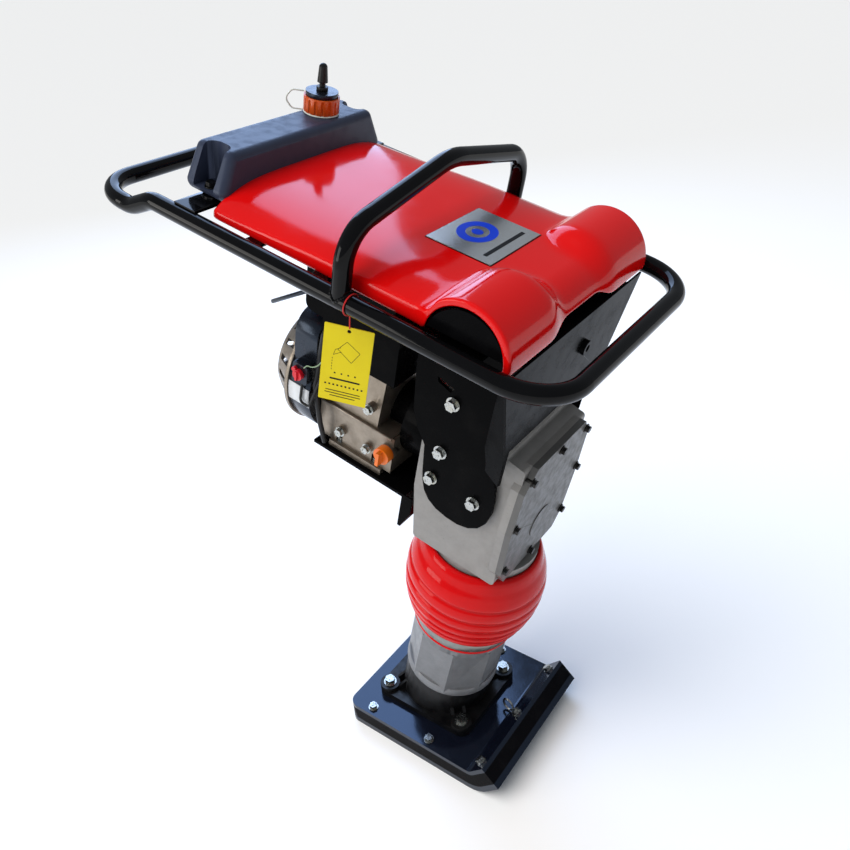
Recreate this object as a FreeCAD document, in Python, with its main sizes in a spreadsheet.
import FreeCAD, Part
import math
import os

# Tamping rammer. The shoe lies flat on the ground at z = 0. Everything above the shoe is drawn
# upright about the leg axis and then leans forward with it.
V = FreeCAD.Vector
doc = FreeCAD.newDocument("TampingRammer")
sheet = doc.addObject("Spreadsheet::Sheet", "Dims")

SIZES = [
    ("lean_deg", 13.5, "forward lean of the leg"),
    ("leg_x", -16.0, "where the leg axis meets the shoe"),
    ("shoe_top_z", 44.5, "top of the shoe's steel plate"),
    ("shoe_wide", 285.0, "shoe width"),
    ("shoe_rear", -146.0, "rear end of the shoe"),
    ("shoe_bend_x", 125.0, "where the toe starts to turn up"),
    ("toe_deg", 47.0, "turn of the toe"),
    ("toe_long", 36.0, "straight part of the toe"),
    ("toe_bend_r", 12.0, "inner bend radius of the toe"),
    ("plate_thick", 8.0, "steel top plate"),
    ("core_thick", 25.0, "laminated core"),
    ("sole_thick", 11.5, "wear sole"),
    ("lug_x_front", 70.0, "front foot lugs"),
    ("lug_x_rear", -95.0, "rear foot lugs"),
    ("lug_y", 73.5, "foot lugs from the middle"),
    ("lug_thick", 20.0, "foot lug thickness"),
    ("leg_base_z", 88.0, "top of the foot casting along the leg"),
    ("leg_flat_r", 79.0, "octagon, middle to flat"),
    ("leg_ring_r", 85.0, "ring at the foot of the octagon"),
    ("collar_r", 84.0, "bellows seat on the leg"),
    ("leg_tube_r", 60.0, "inner leg tube"),
    ("leg_bore_r", 50.0, "bore for the piston"),
    ("leg_tube_top", 330.0, "top of the inner leg tube"),
    ("piston_r", 49.92, "piston"),
    ("guide_gap", 0.05, "guide tube on leg tube, radial"),
    ("neck_r", 88.0, "round neck below the crankcase"),
    ("case_bottom", 436.0, "crankcase"),
    ("case_ledge", 672.0, "crankcase, ledge behind the cover"),
    ("case_top", 742.0, "crankcase"),
    ("case_rear", -97.0, "crankcase"),
    ("case_front", 68.0, "crankcase front flange"),
    ("case_half_wide", 89.0, "crankcase"),
    ("case_wall", 9.0, "crankcase wall"),
    ("cover_thick", 10.0, "crankcase front cover"),
    ("crank_z", 520.0, "crank gear centre"),
    ("crank_throw", 33.0, "crank radius, half the stroke"),
    ("gear_r", 57.0, "crank gear pitch radius"),
    ("pinion_r", 21.0, "pinion pitch radius"),
    ("rod_long", 72.0, "connecting rod centres"),
    ("frame_z", 873.0, "centre of the handle tube"),
    ("frame_half", 200.0, "side bars from the middle"),
    ("frame_front", 118.0, "front bar"),
    ("frame_rear", -638.0, "rear bar"),
    ("frame_drop", 25.0, "offset of the rear bar"),
    ("tube_r", 12.5, "handle tube radius"),
    ("corner_r", 70.0, "bend of the handle corners"),
    ("arch_x", -178.0, "lift arch"),
    ("arch_leg", 86.0, "knee of the lift arch above the bars"),
    ("arch_peak", 127.0, "ridge of the lift arch above the bars"),
    ("side_y", 97.0, "middle of the side plates"),
    ("side_thick", 5.0, "side plates"),
    ("barrel_x", -12.0, "front roll of the hood"),
    ("barrel_z", 876.0, "front roll of the hood"),
    ("barrel_r", 64.0, "front roll of the hood"),
    ("hood_half", 182.0, "hood"),
    ("roll_half", 186.0, "front rolls, ends"),
    ("hood_rear", -408.0, "hood"),
    ("hood_top", 918.5, "hood crown"),
    ("hood_edge", 881.0, "hood side edges"),
    ("hood_thick", 2.5, "hood sheet"),
    ("badge_x", 98.0, "badge plate"),
    ("badge_y", 125.0, "badge plate"),
    ("badge_thick", 1.5, "badge plate"),
    ("tank_half", 173.0, "tank, half length at the bottom"),
    ("tank_crown", 144.0, "tank, half length at the top"),
    ("tank_bottom", 893.0, "tank"),
    ("tank_top", 956.0, "tank"),
    ("tank_x", -449.0, "tank"),
    ("cap_x", -456.0, "filler"),
    ("cap_y", 71.0, "filler"),
    ("cap_r", 26.5, "filler cap"),
    ("engine_z", 598.0, "engine crankshaft"),
    ("base_top", 509.0, "engine base plate"),
    ("base_thick", 6.0, "engine base plate"),
    ("base_rear", -295.0, "engine base plate"),
    ("base_half", 92.0, "engine base plate"),
    ("fan_r", 104.0, "fan housing"),
    ("starter_r", 79.0, "starter cover, outer end"),
]
for row, (name, value, note) in enumerate(SIZES, start=1):
    sheet.set("A%d" % row, name)
    sheet.set("B%d" % row, repr(value))
    sheet.set("C%d" % row, note)
    sheet.setAlias("B%d" % row, name)
doc.recompute()


def d(name):
    return float(sheet.get(name))


LEAN = FreeCAD.Placement(V(d("leg_x"), 0, d("shoe_top_z")),
                         FreeCAD.Rotation(V(0, 1, 0), d("lean_deg")))
FLAT = FreeCAD.Placement()
X, Y, Z = V(1, 0, 0), V(0, 1, 0), V(0, 0, 1)
NODES = []


def node(name, shape, frame=LEAN):
    """A named piece whose shape is drawn in the leaning or the flat frame."""
    piece = doc.addObject("Part::Feature", name)
    piece.Label = name
    own = shape.Placement
    piece.Shape = shape
    piece.Placement = frame.multiply(own)
    NODES.append(piece)
    return piece


def primitive(kind, name, sizes, place, frame=LEAN):
    """A named Part primitive with each size bound to the sheet."""
    piece = doc.addObject("Part::" + kind, name)
    piece.Label = name
    for prop, formula in sizes.items():
        piece.setExpression(prop, formula)
    piece.Placement = frame.multiply(place)
    NODES.append(piece)
    return piece


def at(x, y, z, axis=Z, angle=0):
    return FreeCAD.Placement(V(x, y, z), FreeCAD.Rotation(axis, angle))


def box(x0, x1, y0, y1, z0, z1):
    return Part.makeBox(x1 - x0, y1 - y0, z1 - z0, V(x0, y0, z0))


def rod(radius, start, end):
    """A round bar between two points."""
    line = end.sub(start)
    return Part.makeCylinder(radius, line.Length, start, line)


def ring(outer, inner, start, end):
    line = end.sub(start)
    far = start.sub(line)
    return rod(outer, start, end).cut(rod(inner, far, end.add(line)))


def poly_xz(points, y0, y1):
    """Polygon in X and Z, thickened along Y."""
    wire = Part.makePolygon([V(x, y0, z) for x, z in points] + [V(points[0][0], y0, points[0][1])])
    return Part.Face(wire).extrude(V(0, y1 - y0, 0))


def poly_yz(points, x0, x1):
    wire = Part.makePolygon([V(x0, y, z) for y, z in points] + [V(x0, points[0][0], points[0][1])])
    return Part.Face(wire).extrude(V(x1 - x0, 0, 0))


def poly_xy(points, z0, z1):
    wire = Part.makePolygon([V(x, y, z0) for x, y in points] + [V(points[0][0], points[0][1], z0)])
    return Part.Face(wire).extrude(V(0, 0, z1 - z0))


def revolved(profile):
    """Closed (radius, z) outline turned about the leg axis."""
    wire = Part.makePolygon([V(r, 0, z) for r, z in profile] + [V(profile[0][0], 0, profile[0][1])])
    return Part.Face(wire).revolve(V(0, 0, 0), Z, 360)


def fused(shapes):
    if len(shapes) == 1:
        return shapes[0]
    return shapes[0].multiFuse(shapes[1:]).removeSplitter()


def rounded(shape, radius, along):
    """Round the straight edges that run along one axis."""
    picked = []
    for edge in shape.Edges:
        if edge.Curve.TypeId != "Part::GeomLine":
            continue
        line = edge.tangentAt(edge.FirstParameter)
        if abs(abs(line.dot(along)) - 1) < 1e-6:
            picked.append(edge)
    return shape.makeFillet(radius, picked)


def bent_tube(points, bends, radius, closed=False):
    """Round tube along straight runs joined by tangent arcs."""
    count = len(points)
    edges = []
    last = None
    first = None
    for i in range(count):
        if not closed and i in (0, count - 1):
            here = points[i]
            if last is not None:
                edges.append(Part.LineSegment(last, here).toShape())
            last = here
            continue
        before, here, after = points[i - 1], points[i], points[(i + 1) % count]
        a = before.sub(here).normalize()
        b = after.sub(here).normalize()
        half = math.acos(max(-1.0, min(1.0, a.dot(b)))) / 2
        reach = bends[i] / math.tan(half)
        start, end = here + a * reach, here + b * reach
        middle = here + (a + b).normalize() * (bends[i] / math.sin(half) - bends[i])
        if last is not None:
            edges.append(Part.LineSegment(last, start).toShape())
        else:
            first = start
        edges.append(Part.Arc(start, middle, end).toShape())
        last = end
    if closed:
        edges.append(Part.LineSegment(last, first).toShape())
    path = Part.Wire(Part.sortEdges(edges)[0])
    lead = path.Edges[0]
    begin = lead.valueAt(lead.FirstParameter)
    heading = lead.tangentAt(lead.FirstParameter)
    section = Part.Wire(Part.makeCircle(radius, begin, heading))
    tube = path.makePipeShell([section], True, True)
    return tube if tube.ShapeType == "Solid" else Part.Solid(tube)


def hex_head(base, axis, width, height):
    """Hexagon across flats, standing on base along axis."""
    corner = width / 2 / math.cos(math.pi / 6)
    points = [V(corner * math.cos(math.pi / 3 * k), corner * math.sin(math.pi / 3 * k), 0)
              for k in range(7)]
    solid = Part.Face(Part.makePolygon(points)).extrude(V(0, 0, height))
    solid.Placement = FreeCAD.Placement(base, FreeCAD.Rotation(Z, axis))
    return solid


def bolt(base, axis, width=13.0, shank=8.0, depth=10.0):
    """Flange bolt: washer face on base, head outwards along axis, shank inwards."""
    out = V(axis).normalize()
    flange = rod(width * 0.72, base, base + out * 1.8)
    head = hex_head(base + out * 1.8, out, width, width * 0.5)
    stem = rod(shank / 2, base - out * depth, base)
    return flange.multiFuse([head, stem])


def mirrored(points):
    """Each (x, y, z) and its twin on the other side."""
    return [V(x, y, z) for x, y, z in points] + [V(x, -y, z) for x, y, z in points]


# ------------------------------------------------------------------ shoe and foot
def shoe_layer(top, bottom):
    """One layer of the shoe between two depths below its top face, toe turned up."""
    turn = math.radians(d("toe_deg"))
    cx, cz = d("shoe_bend_x"), d("shoe_top_z") + d("toe_bend_r")
    rear, half = d("shoe_rear"), d("shoe_wide") / 2

    def bend(depth):
        r = d("toe_bend_r") + depth
        start = V(cx, -half, cz - r)
        mid = V(cx + r * math.sin(turn / 2), -half, cz - r * math.cos(turn / 2))
        end = V(cx + r * math.sin(turn), -half, cz - r * math.cos(turn))
        tip = end + V(math.cos(turn), 0, math.sin(turn)) * d("toe_long")
        return start, mid, end, tip

    a0, a1, a2, a3 = bend(top)
    b0, b1, b2, b3 = bend(bottom)
    top_rear, low_rear = V(rear, -half, a0.z), V(rear, -half, b0.z)
    edges = [Part.LineSegment(top_rear, a0), Part.Arc(a0, a1, a2), Part.LineSegment(a2, a3),
             Part.LineSegment(a3, b3), Part.LineSegment(b3, b2), Part.Arc(b2, b1, b0),
             Part.LineSegment(b0, low_rear), Part.LineSegment(low_rear, top_rear)]
    face = Part.Face(Part.Wire([e.toShape() for e in edges]))
    slab = face.extrude(V(0, 2 * half, 0))
    outline = rounded(box(rear, 260, -half, half, -20, 140), 20, Z)
    return slab.common(outline)


def toe_point(y, along, lift=0.0):
    """A point on the turned-up toe and the direction square to it."""
    turn = math.radians(d("toe_deg"))
    r = d("toe_bend_r")
    start = V(d("shoe_bend_x") + r * math.sin(turn), y,
              d("shoe_top_z") + r - r * math.cos(turn))
    out = V(-math.sin(turn), 0, math.cos(turn))
    return start + V(math.cos(turn), 0, math.sin(turn)) * along + out * lift, out


def shoe():
    plate, core, sole = d("plate_thick"), d("core_thick"), d("sole_thick")
    places = mirrored([(-96, 127, d("shoe_top_z")), (34, 127, d("shoe_top_z"))])
    seats = [(p, V(0, 0, 1)) for p in places]
    for y in (-122, 0, 122):
        seats.append(toe_point(y, 16))
    bolts = [bolt(p, out, 13, 9, plate + core - 4) for p, out in seats]
    holes = [rod(4.5, p - out * (plate + core - 4), p + out * 3) for p, out in seats]
    lugs = [V(x, y, d("shoe_top_z")) for x in (d("lug_x_front"), d("lug_x_rear"))
            for y in (-d("lug_y"), d("lug_y"))]
    lug_holes = [rod(6, p - Z * 26, p + Z * 3) for p in lugs]
    every_hole = Part.makeCompound(holes + lug_holes)
    node("shoe_plate", shoe_layer(0, plate).cut(every_hole), FLAT)
    node("shoe_core", shoe_layer(plate, plate + core).cut(every_hole), FLAT)
    node("shoe_sole", shoe_layer(plate + core, plate + core + sole), FLAT)
    node("shoe_bolts", Part.makeCompound(bolts), FLAT)


def foot():
    """Black foot casting: a leaning round boss with four bolted lugs and ribs."""
    top = d("shoe_top_z")
    lean = math.radians(d("lean_deg"))
    axis = V(math.sin(lean), 0, math.cos(lean))
    origin = V(d("leg_x"), 0, top)
    boss = rod(82, origin - axis * 40, origin + axis * d("leg_base_z"))
    boss = boss.common(box(-200, 200, -200, 200, top, 200))
    edge = 19
    pad = rounded(box(d("lug_x_rear") - edge, d("lug_x_front") + edge, -d("lug_y") - edge,
                      d("lug_y") + edge, top, top + 12), edge, Z)
    parts = [boss, pad]
    bolts = []
    for x in (d("lug_x_front"), d("lug_x_rear")):
        for y in (-d("lug_y"), d("lug_y")):
            lug = Part.makeCylinder(edge, d("lug_thick"), V(x, y, top))
            toward = V(d("leg_x") + 4 - x, -y, 0).normalize()
            side = V(-toward.y, toward.x, 0)
            near = V(x, y, 0) + toward * 16
            far = V(x, y, 0) + toward * 62
            web = []
            for s in (-1, 1):
                a = near + side * (s * 14)
                b = far + side * (s * 14)
                tri = Part.makePolygon([V(a.x, a.y, top), V(b.x, b.y, top), V(b.x, b.y, top + 58),
                                        V(a.x, a.y, top + d("lug_thick")), V(a.x, a.y, top)])
                web.append(Part.Face(tri).extrude(side * (-6 * s)))
            parts += [lug] + web
            bolts.append(bolt(V(x, y, top + d("lug_thick")), Z, 17, 12, 44))
    casting = fused(parts)
    holes = [rod(6, V(x, y, top - 2), V(x, y, top + 40))
             for x in (d("lug_x_front"), d("lug_x_rear")) for y in (-d("lug_y"), d("lug_y"))]
    node("foot_casting", casting.cut(Part.makeCompound(holes)), FLAT)
    node("foot_bolts", Part.makeCompound(bolts), FLAT)


def leg():
    """Spring cylinder: octagonal casting with a round seat and the inner tube."""
    base = d("leg_base_z")
    corner = d("leg_flat_r") / math.cos(math.pi / 8)
    angles = [math.pi / 4 * (k + 0.5) for k in range(8)]
    outline = [(corner * math.cos(a), corner * math.sin(a)) for a in angles]
    body = [poly_xy(outline, base, 206),
            Part.makeCone(d("leg_ring_r") + 1, d("leg_ring_r") - 2, 14, V(0, 0, base), Z),
            rod(d("collar_r"), V(0, 0, 204), V(0, 0, 250)),
            rod(d("leg_tube_r"), V(0, 0, 200), V(0, 0, d("leg_tube_top")))]
    bore = rod(d("leg_bore_r"), V(0, 0, base + 14), V(0, 0, d("leg_tube_top") + 1))
    seat = ring(d("leg_bore_r"), 17, V(0, 0, d("leg_tube_top") - 12), V(0, 0, d("leg_tube_top")))
    node("spring_cylinder", fused([fused(body).cut(bore), seat]))


def coil(radius, wire, z0, z1, turns):
    """Compression spring between two heights."""
    low, high = z0 + wire, z1 - wire
    helix = Part.makeHelix((high - low) / turns, high - low, radius)
    helix.translate(V(0, 0, low))
    section = Part.Wire(Part.makeCircle(wire, V(radius, 0, low), Y))
    return Part.Wire(helix).makePipeShell([section], True, True)


def piston():
    top, bottom = 215.0, 192.0
    disc = rod(d("piston_r"), V(0, 0, bottom), V(0, 0, top))
    wrist = d("crank_z") - d("crank_throw") - d("rod_long")
    stem = rod(14, V(0, 0, bottom - 12), V(0, 0, wrist - 22))
    fork = rounded(box(-19, 19, -14, 14, wrist - 26, wrist + 14), 5, X)
    fork = fork.cut(box(-10.4, 10.4, -30, 30, wrist - 17, wrist + 40))
    fork = fork.cut(rod(7, V(-30, 0, wrist), V(30, 0, wrist)))
    node("piston", fused([disc, stem, fork]))
    node("ram_springs", Part.makeCompound([coil(33, 5, 103, 191.5, 4.0),
                                           coil(33, 5, 215.5, 317.5, 4.5)]))


def bellows():
    folds = [(117, 360), (117.5, 350), (113.5, 342), (117, 336), (117.5, 330), (112.5, 321),
             (115.5, 315), (115.5, 309), (109.5, 300), (112, 294), (111.5, 288), (105, 279),
             (106, 273), (104, 267)]
    shoulder = [(89, 424), (94, 421), (99, 411), (103, 401), (109, 388), (114, 374)]
    hem = [(96, 260), (91, 256), (89, 254), (89, 230.5), (90.5, 229.5), (90.5, 226), (87, 225)]
    outer = shoulder + folds + hem
    wall = 4.0
    inner = [(r - wall, z) for r, z in outer[1:-3]]
    inner[0] = (d("neck_r") + 0.4, 417)
    profile = [(d("neck_r") + 0.4, 424)] + outer + [(d("collar_r") + 0.3, 225)]
    profile += [(max(r, d("collar_r") + 0.3), z) for r, z in reversed(inner)]
    node("bellows", revolved(profile))
    strap = ring(91, 89.3, V(0, 0, 232), V(0, 0, 252))
    lug = box(-9, 9, 90.5, 101, 237, 247)
    node("lower_clamp", strap.fuse(lug).cut(rod(89.3, V(0, 0, 200), V(0, 0, 300))))


# ------------------------------------------------------------------ crankcase
def case_cover_outline():
    wide = d("case_half_wide")
    upper = [(-wide + 18, 674), (wide - 18, 674), (wide + 6, 640), (wide + 11, 560)]
    lower = [(wide + 5, 470), (wide - 12, d("case_bottom") + 8), (-wide + 12, d("case_bottom") + 8)]
    return upper + lower + [(-wide - 5, 470), (-wide - 11, 560), (-wide - 6, 640)]


COVER_BOLTS = [(-80, 656), (0, 664), (80, 656), (92, 572), (88, 480), (0, 453), (-88, 480),
               (-92, 572)]
PLATE_BOLTS = [(-53, 727), (-58, 637), (-65, 583), (9, 582)]
FOOT_BOLTS = (-254, -182)
BLOCK_BOLTS = [(-200, 622), (-250, 547), (-196, 545), (-278, 640)]


def case_profile():
    """Side view of the crankcase: a ledge behind the cover, then a step up to the flat top."""
    front, rear = d("case_front"), d("case_rear")
    low, ledge, high = d("case_bottom"), d("case_ledge"), d("case_top")
    return [(rear + 14, low), (front, low), (front, ledge), (36, ledge + 6), (34, high),
            (rear, high), (rear, 540)]


def crankcase():
    wide, wall = d("case_half_wide"), d("case_wall")
    front, rear = d("case_front"), d("case_rear")
    low, high = d("case_bottom"), d("case_top")
    shell = rounded(poly_xz(case_profile(), -wide, wide), 6, Y)
    flange = poly_yz(case_cover_outline(), front - 12, front)
    room = box(rear + 24, front + 1, -wide + wall, wide - wall, low + wall, 660)
    loft = box(rear + wall, 24, -wide + wall, wide - wall, 650, high - wall)
    neck = rod(d("neck_r"), V(0, 0, 412), V(0, 0, low + 2))
    solid = fused([shell, flange, neck]).cut(room).cut(loft)
    solid = solid.cut(rod(66.1, V(0, 0, 405), V(0, 0, low + wall + 1)))
    solid = solid.cut(rod(17.5, V(rear - 2, 0, d("engine_z")), V(rear + 30, 0, d("engine_z"))))
    holes = [rod(4, V(front - 14, y, z), V(front + 1, y, z)) for y, z in COVER_BOLTS]
    mounts = [rod(5, V(x, s * wide, z), V(x, s * (wide - 8), z)) for x, z in PLATE_BOLTS
              for s in (-1, 1)]
    node("crankcase", solid.cut(Part.makeCompound(holes + mounts)))
    guide_r = d("leg_tube_r") + d("guide_gap")
    guide = ring(66, guide_r, V(0, 0, 254), V(0, 0, low + 6))
    node("guide_tube", guide)


def crankcase_cover():
    """Front cover: a padded outline with a bolt circle and a raised bearing boss."""
    body = doc.addObject("PartDesign::Body", "crankcase_cover")
    body.Label = "crankcase_cover"
    plane = [f for f in body.Origin.OriginFeatures if f.Role == "YZ_Plane"][0]
    outline = body.newObject("Sketcher::SketchObject", "CoverOutline")
    outline.AttachmentSupport = (plane, [""])
    outline.MapMode = "FlatFace"
    points = [V(y, z, 0) for y, z in case_cover_outline()]
    for k, point in enumerate(points):
        outline.addGeometry(Part.LineSegment(point, points[(k + 1) % len(points)]), False)
    pad = body.newObject("PartDesign::Pad", "CoverPad")
    pad.Profile = outline
    pad.setExpression("Length", "Dims.cover_thick")
    boss = body.newObject("Sketcher::SketchObject", "BossOutline")
    boss.AttachmentSupport = (plane, [""])
    boss.MapMode = "FlatFace"
    boss.addGeometry(Part.Circle(V(0, d("crank_z"), 0), Z, 27), False)
    boss_pad = body.newObject("PartDesign::Pad", "BossPad")
    boss_pad.Profile = boss
    boss_pad.setExpression("Length", "Dims.cover_thick + 1.5")
    bore = body.newObject("Sketcher::SketchObject", "BearingBore")
    bore.AttachmentSupport = (plane, [""])
    bore.MapMode = "FlatFace"
    bore.addGeometry(Part.Circle(V(0, d("crank_z"), 0), Z, 12.06), False)
    pocket = body.newObject("PartDesign::Pocket", "BorePocket")
    pocket.Profile = bore
    pocket.Length = 8
    pocket.Reversed = True
    holes = body.newObject("Sketcher::SketchObject", "BoltCircle")
    holes.AttachmentSupport = (plane, [""])
    holes.MapMode = "FlatFace"
    for y, z in COVER_BOLTS:
        holes.addGeometry(Part.Circle(V(y, z, 0), Z, 4), False)
    drilled = body.newObject("PartDesign::Pocket", "BoltHoles")
    drilled.Profile = holes
    drilled.setExpression("Length", "Dims.cover_thick * 2")
    drilled.Reversed = True
    body.Placement = LEAN.multiply(at(d("case_front"), 0, 0))
    NODES.append(body)
    front = d("case_front") + d("cover_thick")
    bolts = [bolt(V(front, y, z), X, 10, 8, 22) for y, z in COVER_BOLTS]
    node("cover_bolts", Part.makeCompound(bolts))


def toothed(radius, teeth, x0, x1, z, phase=0.0):
    """Spur gear along X: a polygon with trapezoid teeth."""
    points = []
    for k in range(teeth):
        mid = 2 * math.pi * (k + phase) / teeth
        step = 2 * math.pi / teeth
        for turn, reach in ((-0.36, -1.9), (-0.15, 1.5), (0.15, 1.5), (0.36, -1.9)):
            angle = mid + turn * step
            points.append(((radius + reach) * math.sin(angle),
                           z + (radius + reach) * math.cos(angle)))
    return poly_yz(points, x0, x1)


def gear_train():
    z, throw = d("crank_z"), d("crank_throw")
    pin_z = z - throw
    gear = toothed(d("gear_r"), 38, 18, 32, z, 0.5)
    hub = rod(20, V(32, 0, z), V(40, 0, z))
    shaft = rod(12, V(40, 0, z), V(75.5, 0, z))
    pin = rod(10, V(-12, 0, pin_z), V(18, 0, pin_z))
    node("crank_gear", fused([gear, hub, shaft, pin]))
    wrist = pin_z - d("rod_long")
    big = rod(19, V(-10, 0, pin_z), V(10, 0, pin_z))
    small = rod(13, V(-10, 0, wrist), V(10, 0, wrist))
    beam = box(-7, 7, -8, 8, wrist, pin_z)
    link = fused([big, small, beam]).cut(rod(10.05, V(-20, 0, pin_z), V(20, 0, pin_z)))
    node("connecting_rod", link)
    axle = d("engine_z")
    pinion = toothed(d("pinion_r"), 14, 18, 32, axle)
    drum = ring(46, 43, V(-143, 0, axle), V(-116, 0, axle))
    web = rod(46, V(-116, 0, axle), V(-111, 0, axle))
    stem = rod(10, V(-111, 0, axle), V(18, 0, axle))
    node("pinion", fused([pinion, stem, drum, web]))
    bearing = ring(17.4, 10.04, V(-92, 0, axle), V(-78, 0, axle))
    node("pinion_bearing", bearing)


def side_plate(side, name):
    """Hanger plate from the handle tube to the crankcase; its front edge flares outwards."""
    inner = d("side_y") - d("side_thick") / 2
    outer = d("side_y") + d("side_thick") / 2
    outline = [(-118, 868), (-119, 752), (-113, 684), (-101, 655), (-86, 634), (-82, 590),
               (-79, 570), (-73, 552), (-63, 539), (-48, 530), (-28, 525.5), (-8, 525),
               (10, 530), (25, 541), (35, 557), (40, 578), (39.5, 602), (36, 628), (17, 666),
               (8, 700), (8, 868)]
    plate = poly_xz(outline, inner, outer)
    shelf = box(-118, 8, inner, d("frame_half") - 4, 864, 868)
    wing = poly_xy([(2, inner), (8, inner), (48, inner + 21), (46, outer + 21), (6, outer),
                    (2, outer)], 655, 862.7)
    wing = wing.cut(poly_xz([(0, 640), (20, 640), (15, 668), (4, 690), (0, 700)], 80, 130))
    solid = fused([plate, shelf, wing])
    solid = solid.cut(rod(d("tube_r") + 0.02, V(-300, d("frame_half"), d("frame_z")),
                          V(300, d("frame_half"), d("frame_z"))))
    holes = [rod(5, V(x, 80, z), V(x, 120, z)) for x, z in PLATE_BOLTS]
    slot = poly_xz([(-84, 757), (-82, 749), (-60, 742), (-56, 750)], 80, 120)
    solid = solid.cut(Part.makeCompound(holes + [slot]))
    if side < 0:
        solid = solid.mirror(V(0, 0, 0), Y)
    node(name, solid)


def plates():
    side_plate(-1, "side_plate_right")
    side_plate(1, "side_plate_left")
    wide, inner = d("case_half_wide"), d("side_y") - d("side_thick") / 2
    pads, bolts = [], []
    for x, z in PLATE_BOLTS:
        for s in (-1, 1):
            pads.append(ring(15, 5, V(x, s * wide, z), V(x, s * inner, z)))
            face = s * (d("side_y") + d("side_thick") / 2)
            bolts.append(bolt(V(x, face, z), V(0, s, 0), 15, 10, 18))
    node("rubber_mounts", Part.makeCompound(pads))
    for x in FOOT_BOLTS:
        for s in (-1, 1):
            bolts.append(bolt(V(x, s * 71, d("base_top") + 11), Z, 12, 8, 18))
    bolts += [bolt(V(x, -82, z), V(0, -1, 0), 12, 8, 12) for x, z in BLOCK_BOLTS]
    node("flange_bolts", Part.makeCompound(bolts))


def front_panel():
    """Black sheet across the front between the flared side plates, narrowing downwards."""
    x = 48
    outline = [(-186, 866), (186, 866), (133, 722), (-133, 722)]
    panel = poly_yz(outline, x, x + 3)
    top = box(-30, x + 3, -142, 142, 863, 866)
    sheet_metal = fused([panel, top])
    for y0, y1 in ((90, 200), (-200, -90)):
        sheet_metal = sheet_metal.cut(box(-31, 8.4, y0, y1, 855, 870))
    y, z = 37, 809
    grommet = ring(11, 5, V(x + 3, y, z), V(x + 9, y, z))
    hole = rod(5, V(x - 5, y, z), V(x + 12, y, z))
    node("front_panel", sheet_metal.cut(hole).fuse(grommet))


# ------------------------------------------------------------------ handle
def handle():
    z, half = d("frame_z"), d("frame_half")
    front, rear, drop = d("frame_front"), d("frame_rear"), d("frame_drop")
    points = [V(front, -half, z), V(front, half, z), V(rear + 125, half, z),
              V(rear + 80, half, z - drop), V(rear, half, z - drop), V(rear, -half, z - drop),
              V(rear + 80, -half, z - drop), V(rear + 125, -half, z)]
    bend = d("corner_r")
    frame = bent_tube(points, [bend, bend, 40, 40, 60, 60, 40, 40], d("tube_r"), True)
    node("handle_frame", frame)
    x, knee, peak = d("arch_x"), z + d("arch_leg"), z + d("arch_peak")
    spine = [V(x, -half, z), V(x, -half, knee), V(x, 0, peak), V(x, half, knee), V(x, half, z)]
    arch = bent_tube(spine, [0, 50, 125, 50, 0], d("tube_r") - 0.2)
    saddle = [rod(d("tube_r") + 0.02, V(x - 40, s * half, z), V(x + 40, s * half, z))
              for s in (-1, 1)]
    node("lift_arch", arch.cut(Part.makeCompound(saddle)))


# ------------------------------------------------------------------ hood and badge
def hood_section(inset):
    """Cross section of the hood in Y and Z, from edge to edge."""
    half, top, edge = d("hood_half") - inset, d("hood_top") - inset, d("hood_edge")
    return [(-half, edge), (-half, edge + 14), (-half + 10, top - 12), (-half + 30, top - 4),
            (-half + 80, top), (half - 80, top), (half - 30, top - 4), (half - 10, top - 12),
            (half, edge + 14), (half, edge)]


def hood():
    thick, rear = d("hood_thick"), d("hood_rear")
    cx, cz, radius = d("barrel_x"), d("barrel_z"), d("barrel_r")
    joint = cx - radius + 16
    outer = poly_yz(hood_section(0), rear, joint)
    inner = poly_yz(hood_section(thick), rear - 1, joint + 1)
    sheet_body = outer.cut(inner)
    rolls = []
    for s in (-1, 1):
        a, b = sorted((s * 58, s * d("roll_half")))
        roll = ring(radius, radius - thick, V(cx, a, cz), V(cx, b, cz))
        roll = roll.common(box(cx - 80, cx + 80, a, b, cz - 4, cz + 80))
        rolls.append(roll)
        c0, c1 = sorted((s * 58, s * 60.5))
        cheek = rod(radius, V(cx, c0, cz), V(cx, c1, cz))
        cheek = cheek.cut(rod(46, V(cx - 12, c0 - 1, cz - 2), V(cx - 12, c1 + 1, cz - 2)))
        rolls.append(cheek.common(box(cx - 80, cx + 80, c0, c1, cz - 4, cz + 80)))
    dip_r = 46.0
    dip_c = V(cx + 13, 0, d("hood_top") - dip_r)
    dip = ring(dip_r, dip_r - thick, V(dip_c.x, -58, dip_c.z), V(dip_c.x, 58, dip_c.z))
    dip = dip.common(box(dip_c.x, 100, -58, 58, 888, 990))
    bridge = box(joint - 1, dip_c.x, -58, 58, d("hood_top") - thick, d("hood_top"))
    whole = fused([sheet_body] + rolls + [dip, bridge])
    whole = whole.cut(Part.makeCompound([
        rod(radius - thick, V(cx, s * 60.5, cz), V(cx, s * 200, cz)) for s in (-1, 1)]))
    whole = whole.cut(box(cx - radius - 1, joint + 1, -178, 178, 860, d("hood_top") - thick))
    node("hood", whole)
    badge_place = at(-158, -d("badge_y") / 2, d("hood_top"))
    primitive("Box", "badge_plate", {"Length": "Dims.badge_x", "Width": "Dims.badge_y",
                                     "Height": "Dims.badge_thick"}, badge_place)


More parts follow.
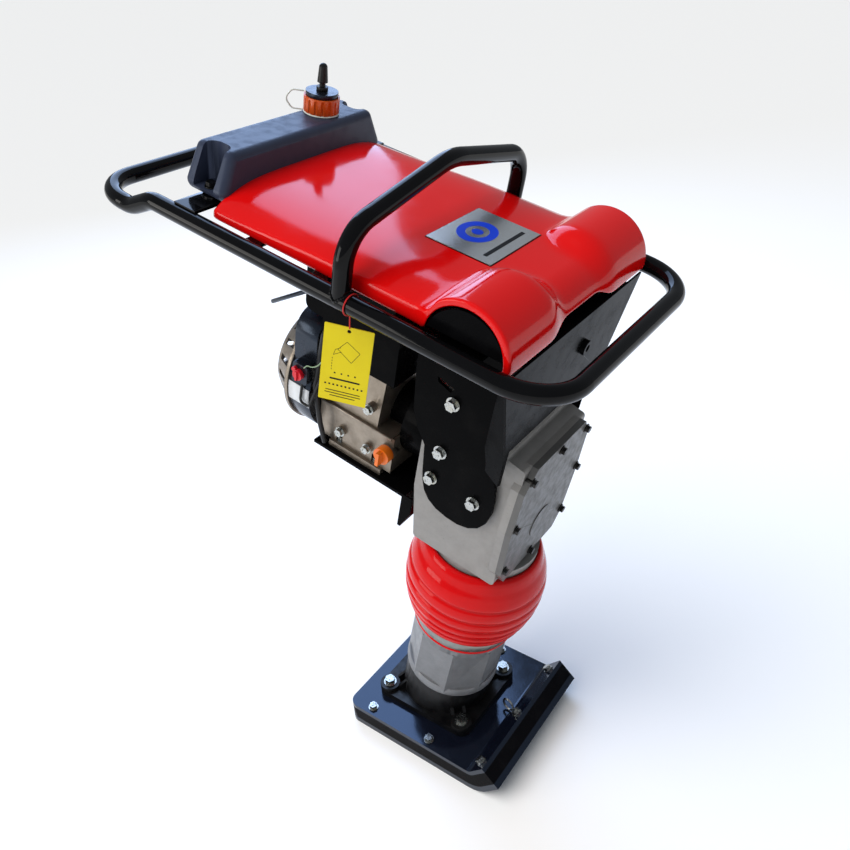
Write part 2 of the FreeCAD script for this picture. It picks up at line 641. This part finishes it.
def air_box():
    """Air cleaner canister across the front, under the hood's rolls, with an end plate each side."""
    cx, cz = d("barrel_x") + 1, d("barrel_z") - 4
    can = rod(52, V(cx, -150, cz), V(cx, 150, cz))
    can = can.common(box(-80, 39.4, -150, 150, 868.5, 990))
    can = can.cut(rod(49.5, V(cx, -147, cz), V(cx, 147, cz)).common(
        box(-80, 36, -147, 147, 871, 990)))
    can = can.common(rod(42, V(cx, -150, cz), V(cx, 150, cz)).fuse(
        rod(53, V(cx, -150, cz), V(cx, -64, cz)).fuse(rod(53, V(cx, 64, cz), V(cx, 150, cz)))))
    parts = [can]
    for s in (-1, 1):
        a, b = sorted((s * 184, s * 181))
        disc = rod(54, V(cx, a, cz), V(cx, b, cz)).common(box(-80, 80, a, b, 886, 990))
        c, e = sorted((s * 150, s * 181))
        post = rod(9, V(cx, c, cz + 24), V(cx, e, cz + 24))
        parts += [disc, post]
    node("air_cleaner", fused(parts))


# ------------------------------------------------------------------ tank
def tank():
    half, low, high, cx = d("tank_half"), d("tank_bottom"), d("tank_top"), d("tank_x")
    crown = d("tank_crown")
    rings = []
    for z, long, rear, front in ((low, half, cx - 39, cx + 39), (high, crown, cx - 37, cx + 33)):
        corners = [V(rear, -long, z), V(front, -long, z), V(front, long, z), V(rear, long, z)]
        rings.append(Part.makePolygon(corners + corners[:1]))
    shell = Part.makeLoft(rings, True, True)
    shell = shell.makeFillet(12, shell.Edges)
    for s in (-1, 1):
        a, b = sorted((s * 126, s * (half + 2)))
        shell = shell.cut(rounded(box(cx - 20, cx + 19, a, b, low + 10, high + 9), 14, Z))
    neck = rod(22, V(d("cap_x"), d("cap_y"), high - 2), V(d("cap_x"), d("cap_y"), high + 6))
    solid = shell.fuse(neck)
    room = box(cx - 30, cx + 26, -118, 118, low + 5, high - 5)
    solid = solid.cut(room).cut(rod(17, V(d("cap_x"), d("cap_y"), high - 12),
                                    V(d("cap_x"), d("cap_y"), high + 10)))
    bolt_y = half - 20
    holes = [rod(4, V(cx, s * bolt_y, low - 1), V(cx, s * bolt_y, low + 14)) for s in (-1, 1)]
    node("fuel_tank", solid.cut(Part.makeCompound(holes)))
    bolts = [bolt(V(cx, s * bolt_y, low + 10), Z, 12, 8, 18) for s in (-1, 1)]
    node("tank_bolts", Part.makeCompound(bolts))
    side, z = d("frame_half"), d("frame_z")
    brackets = []
    for s in (-1, 1):
        bar = rod(d("tube_r") + 0.02, V(-600, s * side, z), V(0, s * side, z))
        y0, y1 = sorted((s * (bolt_y - 16), s * side))
        strip = box(cx - 20, cx + 20, y0, y1, 884.5, 889).cut(bar)
        spacer = rod(12, V(cx, s * bolt_y, 888), V(cx, s * bolt_y, low))
        hole = rod(4, V(cx, s * bolt_y, 880), V(cx, s * bolt_y, low + 1))
        brackets.append(strip.fuse(spacer).cut(hole))
    for x in (-340, -226):
        strap = [box(x - 13, x + 13, 6 - side, side - 6, z, z + 4)]
        strap += [box(x - 13, x + 13, y - 2, y + 2, z + 3, 903) for y in (-150, 150)]
        strap = fused(strap)
        for s in (-1, 1):
            strap = strap.cut(rod(d("tube_r") + 0.02, V(x - 50, s * side, z), V(x + 50, s * side, z)))
        brackets.append(strap)
    node("tank_brackets", Part.makeCompound(brackets))


def cap():
    x, y, base = d("cap_x"), d("cap_y"), d("tank_top") + 3
    top = base + 22
    skirt = rod(d("cap_r"), V(x, y, base), V(x, y, top))
    grips = []
    for k in range(16):
        turn = math.pi / 8 * k
        rim = V(x + (d("cap_r") + 1.2) * math.cos(turn), y + (d("cap_r") + 1.2) * math.sin(turn), 0)
        grips.append(rod(2.4, rim + Z * base, rim + Z * (base + 19)))
    cup = skirt.cut(Part.makeCompound(grips))
    cup = cup.cut(rod(22.1, V(x, y, base - 1), V(x, y, base + 3.1)))
    node("fuel_cap", cup)
    node("cap_disc", rod(24, V(x, y, top), V(x, y, top + 7)))
    boss = rod(8.5, V(x, y, top + 7), V(x, y, top + 13))
    neck = rod(4.5, V(x, y, top + 12), V(x, y, top + 20))
    cone = Part.makeCone(7.8, 6.2, 20, V(x, y, top + 19), Z)
    tip = Part.makeSphere(6.2, V(x, y, top + 39.2))
    node("vent_stem", fused([boss, neck, cone, tip]))
    loop = Part.makeTorus(d("cap_r") - 1, 1.3, V(x, y, base - 1.5), Z)
    back = V(-0.79, -0.61, 0)
    stops = ((25, -1.5), (44, -1.5), (54, 12), (44, 25.5), (26, 25.5))
    tail = bent_tube([V(x, y, base + up) + back * out for out, up in stops], [0, 8, 9, 8, 0], 1.3)
    node("cap_tether", loop.fuse(tail))


# ------------------------------------------------------------------ engine
def engine():
    z, rear = d("engine_z"), d("base_rear")
    top, thick, half = d("base_top"), d("base_thick"), d("base_half")
    plate = box(rear, -108, -half, half, top - thick, top)
    flange = box(-114, -108, -half, half, 440, top)
    link = box(-108, -80, -70, 70, top - thick, top).cut(poly_xz(case_profile(), -90, 90))
    sides, feet = [], []
    for s in (-1, 1):
        y0, y1 = sorted((s * half, s * (half - 2.6)))
        sides.append(poly_xz([(-109, 440), (-94, 475), (-94, top), (-109, top)], y0, y1))
        y0, y1 = sorted((s * 58, s * 84))
        foot_pad = box(-270, -165, y0, y1, top, top + 11)
        for x in FOOT_BOLTS:
            foot_pad = foot_pad.cut(rod(4, V(x, s * 71, top - 1), V(x, s * 71, top + 12)))
            plate = plate.cut(rod(4, V(x, s * 71, top - 9), V(x, s * 71, top + 1)))
        feet.append(foot_pad)
    node("engine_base", fused([plate, flange, link] + sides))
    block_top = 680
    sump = box(-296, -150, -78, 78, top + 10, 588)
    outline = [(-76, 587), (76, 587), (64, block_top), (-64, block_top)]
    upper = poly_yz(outline, -290, -186)
    ledge = rounded(box(-292, -154, -82, 82, 584, 590), 2.5, X)
    block = fused([sump, upper, ledge]).cut(rod(50, V(-280, 0, z), V(-196, 0, z)))
    block = block.cut(rod(10, V(-300, 0, z), V(-149, 0, z)))
    bosses = [rod(8, V(x, -82, z), V(x, -62, z)) for x, z in BLOCK_BOLTS]
    filler = rod(13, V(-158, -84, 562), V(-158, -73, 562))
    body = fused([block, filler] + feet + bosses)
    wells = [rod(9.2, V(x, s * 71, top + 11), V(x, s * 71, top + 28)) for x in FOOT_BOLTS
             for s in (-1, 1)]
    wells += [rod(4, V(x, s * 71, top + 9), V(x, s * 71, top + 12)) for x in FOOT_BOLTS
              for s in (-1, 1)]
    wells += [rod(4, V(x, -84, z), V(x, -69, z)) for x, z in BLOCK_BOLTS]
    oil_hole = rod(9, V(-158, -90, 562), V(-158, -60, 562))
    node("engine_block", body.cut(Part.makeCompound(wells + [oil_hole])))
    housing = ring(66, 52, V(-150, 0, z), V(-97, 0, z))
    snout = ring(44, 12, V(-185.7, 0, z), V(-147, 0, z)).cut(box(-190, -149.7, -90, 90, 500, 591))
    plate_end = ring(66, 12, V(-150, 0, z), V(-147, 0, z))
    node("clutch_housing", fused([housing, plate_end, snout]))
    fins = [rounded(box(-280, -170, -58, 58, 690 + 12 * k, 694 + 12 * k), 8, Z) for k in range(8)]
    barrel = rod(38, V(-225, 0, block_top), V(-225, 0, 792))
    head = rounded(box(-278, -172, -56, 56, 792, 812), 8, Z)
    head_fins = [box(-272 + 16 * k, -268 + 16 * k, -50, 50, 812, 826) for k in range(6)]
    node("cylinder", fused([barrel, head] + fins + head_fins))
    node("plug_boot", rod(9, V(-225, -56, 802), V(-225, -82, 802)))
    shaft = [rod(9.9, V(-372, 0, z), V(-120, 0, z)), rod(40, V(-142, 0, z), V(-122, 0, z)),
             rod(88, V(-340, 0, z), V(-318, 0, z)), rod(36, V(-250, 0, z), V(-205, 0, z))]
    vanes = []
    for k in range(14):
        blade = box(-352, -340, -2, 2, z + 48, z + 86)
        blade.rotate(V(0, 0, z), X, 360.0 / 14 * k)
        vanes.append(blade)
    node("engine_shaft", fused(shaft + vanes))


def starter():
    """Fan housing with its air duct and the domed recoil cover with its grip."""
    z, big, end = d("engine_z"), d("fan_r"), d("starter_r")
    shell = ring(big, big - 3, V(-344, 0, z), V(-300, 0, z))
    back = ring(big, 60, V(-303, 0, z), V(-300, 0, z))
    duct = rounded(box(-344, -300, -92, 76, 600, 730), 34, X)
    duct = duct.cut(rounded(box(-341, -299, -89, 73, 603, 727), 31, X))
    duct = duct.cut(rod(big - 3, V(-360, 0, z), V(-290, 0, z)))
    node("fan_housing", fused([shell, back, duct]))
    outside = [(-344, big + 3), (-350, big + 3), (-351, big - 2), (-390, end), (-397, end - 17),
               (-402, end - 42), (-404, 0)]
    inside = [(-401, 0), (-399, end - 44), (-394, end - 19), (-387, end - 2), (-349, big - 5),
              (-344, big - 5)]
    points = [V(x, 0, z + r) for x, r in outside + inside]
    dome = Part.Face(Part.makePolygon(points + points[:1])).revolve(V(0, 0, z), X, 360)
    slots = []
    for k in range(12):
        slot = box(-410, -384, -4, 4, z + 36, z + 68)
        slot.rotate(V(0, 0, z), X, 30 * k)
        slots.append(slot)
    for k in range(20):
        slot = box(-382, -356, -5, 5, z + 70, z + 120)
        slot.rotate(V(0, 0, z), X, 18 * k)
        slots.append(slot)
    spout = rod(6, V(-391.5, 66, z + 21), V(-391.5, 85.6, z + 21))
    node("starter_cover", dome.cut(Part.makeCompound(slots)).fuse(spout))
    grip = rounded(box(-400, -383, 86, 101, z + 2, z + 40), 5, Z)
    node("starter_grip", grip)


def controls():
    z = d("engine_z")
    x, face, level = -314, -112, z + 44
    switch_box = rounded(box(x - 15, x + 14, face, -92.3, level - 17, level + 17), 4, Y)
    node("switch_body", switch_box.cut(rod(d("fan_r") + 0.05, V(-360, 0, z), V(-299, 0, z))))
    knob = [rod(8.8, V(x, face - 7, level), V(x, face - 0.3, level)),
            box(x - 1.8, x + 1.8, face - 10, face - 6, level - 8, level + 8),
            rod(4, V(x - 8, face - 6, level + 7), V(x - 8, face - 0.8, level + 7))]
    node("switch_knob", fused(knob))
    stick = [rod(14, V(-158, -98, 562), V(-158, -84, 562)), box(-161, -155, -108, -98, 550, 574),
             rod(3, V(-158, -84, 562), V(-158, -76, 562))]
    node("dipstick", fused(stick))
    cowl = rounded(box(-330, -158, -88, 88, 742, 852), 14, Y)
    cowl = cowl.fuse(box(-296, -158, -88, 60, 688, 757))
    cowl = cowl.cut(rounded(box(-327, -161, -85, 85, 725, 849), 11, Y))
    cowl = cowl.cut(box(-300, -161, -85, 61, 687, 760))
    cowl = cowl.cut(box(-300, -240, -100, -80, 780, 830))
    cowl = cowl.cut(rod(4.5, V(-284, -80, 726), V(-284, -90, 726)))
    node("engine_cowl", cowl)
    node("choke_rod", rod(3.5, V(-422, -60, 698), V(-334, -60, 762)))
    carb = [rounded(box(-290, -250, 76, 112, 700, 742), 4, Y), rod(15, V(-270, 60, 722), V(-270, 76, 722))]
    carb.append(rod(16, V(-270, 94, 682), V(-270, 94, 702)))
    node("carburettor", fused(carb))
    flange = box(-215, -172, 58, 64, 700, 738)
    can = rounded(box(-222, -130, 82, 134, 660, 738), 14, Y)
    pipe = rod(11, V(-195, 64, 720), V(-195, 82, 720))
    node("muffler", fused([can, pipe, flange]))
    hose = bent_tube([V(-270, 112, 722), V(-270, 148, 722), V(-200, 150, 800), V(-150, 126, 892),
                      V(-63.5, 126, 892)], [0, 22, 60, 34, 0], 10)
    drain = bent_tube([V(-284, -68, 726), V(-284, -97, 726), V(-295, -97, 620), V(-282, -95, 553),
                       V(-275, -89, 514)], [0, 7, 80, 40, 0], 4.2)
    node("hoses", Part.makeCompound([hose, drain]))
    valve = [rounded(box(-440, -416, 100, 116, 866, 890), 4, Y),
             rod(4, V(-428, 108, 890), V(-428, 108, d("tank_bottom")))]
    node("fuel_cock", fused(valve))
    node("fuel_tap", fused([rod(6, V(-428, 116, 878), V(-428, 122, 878)),
                            box(-431, -402, 119, 122, 875, 881)]))


def throttle():
    """Throttle lever clamped on the left bar with its cable along the front."""
    z, half = d("frame_z"), d("frame_half")
    clamp = ring(17, d("tube_r") + 0.02, V(-498, half, z), V(-474, half, z))
    stud = rod(5, V(-486, half - 34, z), V(-486, half - 16, z))
    node("throttle_clamp", fused([clamp, stud]))
    lever = [rod(9, V(-486, half - 34, z), V(-486, half - 38, z)),
             poly_xz([(-482, z - 5), (-482, z + 6), (-534, z + 18), (-536, z + 10), (-490, z - 5)],
                     half - 38, half - 34)]
    node("throttle_lever", fused(lever))
    below = z - d("tube_r") - 2.7
    cable = bent_tube([V(-473.7, half, below), V(14, half, below), V(38, half - 22, below - 1),
                       V(36, 140, below - 5)], [0, 40, 12, 0], 2.5)
    wire = bent_tube([V(-312, -107.5, 624.8), V(-314, -108.5, 586), V(-295, -109, 586),
                      V(-272, -104, 672), V(-268, -92, 704)], [0, 7, 7, 30, 0], 2.2)
    node("cables", Part.makeCompound([cable, wire]))


def hang_tag():
    """Card on a string loop round the right bar."""
    bar = V(-162, -d("frame_half"), d("frame_z"))
    wide, high, thick = 64, 112, 1.2
    card = rounded(box(-wide / 2, wide / 2, -thick / 2, thick / 2, -high / 2, high / 2), 1.5, Y)
    card = card.cut(rod(2.5, V(0, -5, 50), V(0, 5, 50)))
    turn = FreeCAD.Rotation(Z, 24).multiply(FreeCAD.Rotation(X, -4.6))
    hang = FreeCAD.Placement(V(-165, -195.5, 779), turn)
    card.Placement = hang
    node("hang_tag", card)
    loop = Part.makeTorus(13.8, 0.9, bar, X)
    knot = hang.multVec(V(0, 0, 54))
    tail = rod(0.9, V(bar.x, bar.y, bar.z - 13.8), knot)
    node("tag_string", fused([loop, tail]).cut(card))


shoe()
foot()
leg()
piston()
bellows()
crankcase()
crankcase_cover()
gear_train()
plates()
front_panel()
handle()
hood()
air_box()
tank()
cap()
engine()
starter()
controls()
throttle()
hang_tag()

doc.recompute()
for piece in NODES:
    for flag in piece.State:
        if flag in ("Invalid", "Error"):
            raise RuntimeError("%s is %s" % (piece.Label, flag))
    if piece.Shape.isNull() or not piece.Shape.isValid():
        raise RuntimeError("%s has a bad shape" % piece.Label)

os.makedirs("parts", exist_ok=True)
for piece in NODES:
    piece.Shape.exportStep("parts/%s.step" % piece.Label)
print("exported", len(NODES), "nodes")
